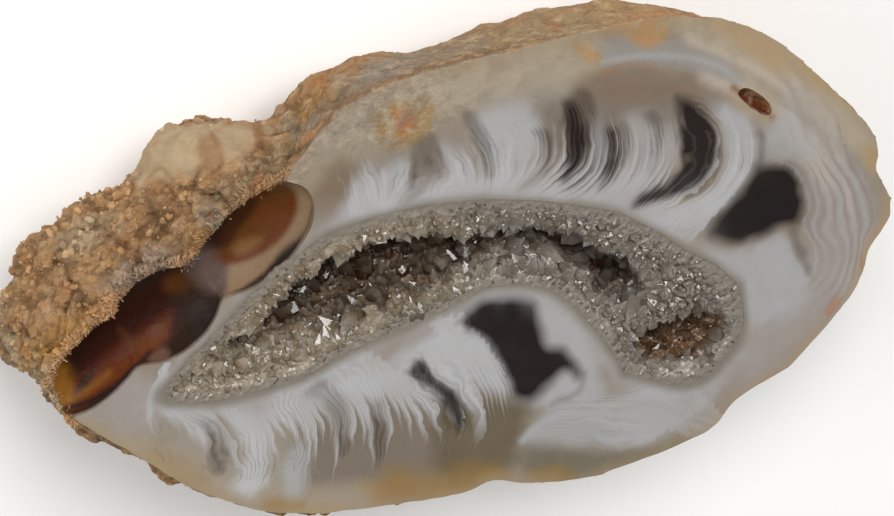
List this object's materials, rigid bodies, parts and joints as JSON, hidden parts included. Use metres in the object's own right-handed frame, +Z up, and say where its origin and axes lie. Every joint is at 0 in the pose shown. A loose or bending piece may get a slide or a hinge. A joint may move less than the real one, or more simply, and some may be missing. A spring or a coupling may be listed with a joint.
{
  "type": "geode half",
  "caption": "Half of a small agate geode: level polished face with feathery banding, rough rounded back, chipped edge and a crescent hollow lined with quartz crystals.",
  "frame": {"origin": "centre of the bounding box's bottom, on the surface that the stone rests on", "axes": "+X along the long side of the polished face, towards its broad end; +Z up, out of the polished face"},
  "size_m": [0.0738, 0.041, 0.018],
  "materials": {
    "agate": "polished face, matte rough rind",
    "quartz": "glassy crystal facets"
  },
  "bodies": {
    "root": {"agate_half": "agate", "quartz_crust": "quartz"}
  },
  "joints": []
}
